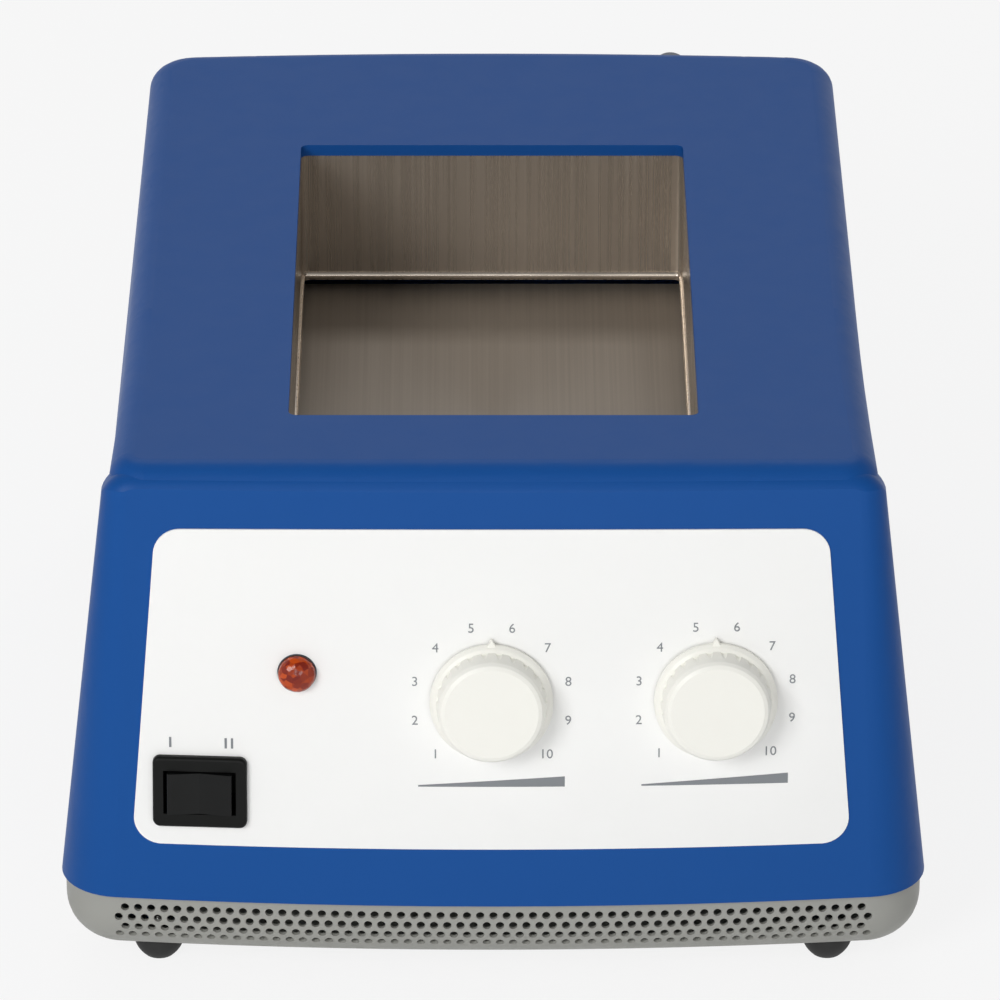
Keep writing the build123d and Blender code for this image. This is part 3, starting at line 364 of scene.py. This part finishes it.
def foot_profile():
    """(radius, height) points of a foot, from its top inner edge round the outside to the recess."""
    points = [(FOOT_HOLE_R, FOOT_TOP_Z), (FOOT_R - FOOT_EDGE, FOOT_TOP_Z), (FOOT_R, FOOT_SHOULDER_Z)]
    for i in range(1, FOOT_DOME_STEPS):
        z = FOOT_SHOULDER_Z * (1 - i / FOOT_DOME_STEPS) + FOOT_DOME_END_Z
        points.append((foot_dome_r(z), z))
    tread_r = foot_dome_r(FOOT_DOME_END_Z)
    points += [(tread_r + out, z) for out, z in FOOT_TREAD]
    points += [(FOOT_RECESS_R + FOOT_RECESS_EDGE, 0.0), (FOOT_RECESS_R, FOOT_RECESS_EDGE)]
    points += [(FOOT_RECESS_R, FOOT_RECESS_TOP), (FOOT_HOLE_R, FOOT_RECESS_TOP)]
    return points


def make_feet():
    made = bmesh.new()
    for foot_x, foot_y in FOOT_SPOTS:
        rings = []
        for r, z in foot_profile():
            ring = []
            for i in range(FOOT_SEGMENTS):
                turn = 2 * math.pi * i / FOOT_SEGMENTS
                spot = (foot_x + r * math.cos(turn), foot_y + r * math.sin(turn), z)
                ring.append(made.verts.new([c * MM for c in spot]))
            rings.append(ring)
        for a, b in zip(rings, rings[1:] + rings[:1]):
            join_rings(made, a, b)
    for face in made.faces:
        face.smooth = True
    piece = add_piece("domed_feet", mesh_from(made, "domed_feet"), rubber)
    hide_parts("rubber_feet")


make_feet()

# Rolled lower edge of the well liner: a polished bead along the inside of the hem
BEAD_R = 1.1
BEAD_X = 49.4
BEAD_Y = 77.4
BEAD_Z = 96.95
BEAD_CORNER_R = 1.6
BEAD_CORNER_STEPS = 4
BEAD_ROUNDNESS = 5


def bead_path():
    """Points of a rectangle with rounded corners, anticlockwise from its right rear corner."""
    points = []
    for corner, (sx, sy) in enumerate(((1, 1), (-1, 1), (-1, -1), (1, -1))):
        for step in range(BEAD_CORNER_STEPS + 1):
            turn = math.radians(90.0 * (corner + step / BEAD_CORNER_STEPS))
            x = sx * (BEAD_X - BEAD_CORNER_R) + BEAD_CORNER_R * math.cos(turn)
            y = WELL_Y + sy * (BEAD_Y - BEAD_CORNER_R) + BEAD_CORNER_R * math.sin(turn)
            points.append((x * MM, y * MM, BEAD_Z * MM, 1.0))
    return points


def make_bead():
    curve = bpy.data.curves.new("draft", "CURVE")
    curve.dimensions = "3D"
    spline = curve.splines.new("POLY")
    path = bead_path()
    spline.points.add(len(path) - 1)
    for point, place in zip(spline.points, path):
        point.co = place
    spline.use_cyclic_u = True
    curve.bevel_depth = BEAD_R * MM
    curve.bevel_resolution = BEAD_ROUNDNESS
    mesh = mesh_of_curve(curve, "liner_bead")
    for face in mesh.polygons:
        face.use_smooth = True
    piece = add_piece("liner_bead", mesh, steel_hem)


make_bead()

# Printed marks on the label: thin closed pieces that follow its curve. Each is drawn flat in
# millimetres, one unit thick, and then laid on the label.
INK_PROUD = 0.03
INK_SUNK = 0.06
NUMERALS = 10
NUMERAL_RING_R = 18.9
NUMERAL_SIZE = 3.3
NUMERAL_ROUNDNESS = 4
NUMERAL_WELD = 0.0001
WEDGE_L = 35.0
WEDGE_LOW_H = 0.4
WEDGE_HIGH_H = 2.6
WEDGE_STEPS = 14
WEDGE_DROP = 20.4
BAR_HALF_W = 0.28
BAR_HALF_H = 1.3
BAR_REACH = 0.75
SWITCH_MARK_REACH = 7.0
SWITCH_MARK_RISE = 3.2


def printed(name, made, centre_x, centre_z):
    """Lay a flat drawing on the label, with its front just proud and its back just sunk."""
    for v in made.verts:
        proud = INK_PROUD if v.co.z > 0.5 else -INK_SUNK
        v.co = on_label(centre_x + v.co.x, centre_z + v.co.y, proud)
    add_piece(name, mesh_from(made, name), ink)


def numeral(number):
    """A number in Blender's own font, centred."""
    curve = bpy.data.curves.new("draft", "FONT")
    curve.body = str(number)
    curve.size = NUMERAL_SIZE
    curve.extrude = 0.5
    curve.resolution_u = NUMERAL_ROUNDNESS
    curve.align_x = "CENTER"
    curve.align_y = "CENTER"
    mesh = mesh_of_curve(curve, "draft")
    made = bmesh.new()
    made.from_mesh(mesh)
    bpy.data.meshes.remove(mesh)
    bmesh.ops.remove_doubles(made, verts=made.verts, dist=NUMERAL_WELD)
    xs = [v.co.x for v in made.verts]
    ys = [v.co.y for v in made.verts]
    for v in made.verts:
        v.co.x -= (min(xs) + max(xs)) / 2
        v.co.y -= (min(ys) + max(ys)) / 2
        v.co.z += 0.5
    return made


def bars(centres):
    """Upright bars, side by side."""
    made = bmesh.new()
    for centre in centres:
        left = centre - BAR_HALF_W
        right = centre + BAR_HALF_W
        outline = ((left, -BAR_HALF_H), (right, -BAR_HALF_H), (right, BAR_HALF_H), (left, BAR_HALF_H))
        back = [made.verts.new((x, y, 0.0)) for x, y in outline]
        front = [made.verts.new((x, y, 1.0)) for x, y in outline]
        made.faces.new(list(reversed(back)))
        made.faces.new(front)
        join_rings(made, back, front)
    return made


def wedge():
    """A long wedge, in short steps so that it can follow the label's curve."""
    made = bmesh.new()
    rings = []
    low = -WEDGE_HIGH_H / 2
    for i in range(WEDGE_STEPS + 1):
        share = i / WEDGE_STEPS
        x = (share - 0.5) * WEDGE_L
        high = low + WEDGE_LOW_H + share * (WEDGE_HIGH_H - WEDGE_LOW_H)
        corners = ((low, 0.0), (low, 1.0), (high, 1.0), (high, 0.0))
        rings.append([made.verts.new((x, y, z)) for y, z in corners])
    for a, b in zip(rings, rings[1:]):
        join_rings(made, a, b)
    made.faces.new(rings[0])
    made.faces.new(list(reversed(rings[-1])))
    return made


def make_scale(dial, dial_x):
    """Plain numbers round a dial, and a wedge under it that grows towards the high end."""
    for i in range(NUMERALS):
        turn = math.radians(DIAL_SWEEP * (i / (NUMERALS - 1) - 0.5))
        x = dial_x + NUMERAL_RING_R * math.sin(turn)
        z = DIAL_Z + NUMERAL_RING_R * math.cos(turn)
        printed("number_%s_%d" % (dial, i + 1), numeral(i + 1), x, z)
    printed("wedge_" + dial, wedge(), dial_x, DIAL_Z - WEDGE_DROP)


def make_switch_marks():
    """One bar and two bars over the ends of the rocker."""
    z = SWITCH_Z + SWITCH_H / 2 + SWITCH_MARK_RISE
    printed("mark_one", bars([0.0]), SWITCH_X - SWITCH_MARK_REACH, z)
    printed("mark_two", bars([-BAR_REACH, BAR_REACH]), SWITCH_X + SWITCH_MARK_REACH, z)


for dial, dial_x in DIAL_XS.items():
    make_scale(dial, dial_x)
make_switch_marks()

# Floor and backdrop: white to the camera, with part of the real light kept so that the shadow shows
FLOOR_REACH = 6.0
FLOOR_WHITE = 0.85


def make_floor():
    m = Material("floor_pale")
    grain = m.noise(300.0, 3.0)
    m.colour(m.mix(grain, (0.84, 0.84, 0.85, 1.0), (0.88, 0.88, 0.89, 1.0)))
    m.rough(m.spread(grain, 0.85, 0.95))
    m.set(Specular_IOR_Level=0.1)
    glow = m.add("ShaderNodeEmission")
    blend = m.add("ShaderNodeMixShader")
    m.join(m.maths("MULTIPLY", m.seen_directly(), FLOOR_WHITE), blend.inputs[0])
    m.join(m.bsdf.outputs[0], blend.inputs[1])
    m.join(glow.outputs[0], blend.inputs[2])
    m.join(blend.outputs[0], m.out.inputs["Surface"])
    made = bmesh.new()
    for sx, sy in ((-1, -1), (1, -1), (1, 1), (-1, 1)):
        made.verts.new((sx * FLOOR_REACH, sy * FLOOR_REACH, 0.0))
    made.faces.new(made.verts)
    mesh = bpy.data.meshes.new("floor")
    made.to_mesh(mesh)
    made.free()
    mesh.materials.append(m.mat)
    floor = bpy.data.objects.new("floor", mesh)
    scene.collection.objects.link(floor)


make_floor()

# The backdrop is white all round as rays see it directly, and the ceiling over it is dimmer
WORLD_LIGHT = 0.26
CEILING_FROM = 0.3
CEILING_FULL = 0.75
CEILING_LIGHT = 0.25


def make_world():
    world = bpy.data.worlds.new("studio")
    scene.world = world
    world.use_nodes = True
    studio = NodeTree(world.node_tree)
    back = studio.tree.nodes["Background"]
    back.inputs["Color"].default_value = (1.0, 1.0, 1.0, 1.0)
    direction = studio.add("ShaderNodeSeparateXYZ")
    studio.join(studio.add("ShaderNodeTexCoord").outputs["Generated"], direction.inputs[0])
    sky = studio.remap(direction.outputs["Z"], CEILING_FROM, CEILING_FULL, 1.0, CEILING_LIGHT)
    lift = studio.maths("SUBTRACT", sky, WORLD_LIGHT)
    lift = studio.maths("MULTIPLY", studio.seen_directly(), lift)
    studio.join(studio.maths("ADD", lift, WORLD_LIGHT), back.inputs["Strength"])


make_world()

# Lamps, in metres and watts: name, place, aim, width and height, power
LAMPS = (
    ("key", (-0.78, -1.3, 0.82), (0.0, -0.05, 0.07), (0.65, 0.65), 11.2),
    ("fill", (0.3, -1.6, 0.3), (0.0, -0.05, 0.07), (0.8, 0.5), 4.6),
    ("rear", (0.0, 0.75, 1.2), (0.0, -0.1, 0.13), (1.1, 0.25), 4.0),
)


def make_lamp(name, place, aim, size, power):
    data = bpy.data.lights.new(name, "AREA")
    data.shape = "RECTANGLE"
    data.size, data.size_y = size
    data.energy = power
    made = bpy.data.objects.new(name, data)
    scene.collection.objects.link(made)
    made.location = place
    made.rotation_mode = "QUATERNION"
    made.rotation_quaternion = (Vector(aim) - Vector(place)).to_track_quat("-Z", "Y")


for lamp in LAMPS:
    make_lamp(*lamp)

# Camera, fitted to the well, the vent pitch and the outline
ELEVATION = math.radians(27.37)
AZIMUTH = math.radians(-0.234)
ROLL = math.radians(-0.102)
DISTANCE = 1.775
TARGET = Vector((0.0014, -0.1324, 0.1341))
FOCAL_LENGTH = 273.7
SENSOR_WIDTH = 36.0
CLIP_NEAR = 0.05
CLIP_FAR = 50.0


def make_camera():
    flat = math.cos(ELEVATION)
    back = Vector((math.sin(AZIMUTH) * flat, -math.cos(AZIMUTH) * flat, math.sin(ELEVATION)))
    right = Vector((math.cos(AZIMUTH), math.sin(AZIMUTH), 0.0))
    up = back.cross(right)
    rolled_right = math.cos(ROLL) * right - math.sin(ROLL) * up
    rolled_up = math.sin(ROLL) * right + math.cos(ROLL) * up
    data = bpy.data.cameras.new("camera")
    data.sensor_width = SENSOR_WIDTH
    data.sensor_fit = "HORIZONTAL"
    data.lens = FOCAL_LENGTH
    data.clip_start = CLIP_NEAR
    data.clip_end = CLIP_FAR
    camera = bpy.data.objects.new("camera", data)
    scene.collection.objects.link(camera)
    turn = Matrix((rolled_right, rolled_up, back)).transposed().to_4x4()
    camera.matrix_world = Matrix.Translation(TARGET + DISTANCE * back) @ turn
    scene.camera = camera


make_camera()
scene.view_settings.view_transform = "Standard"
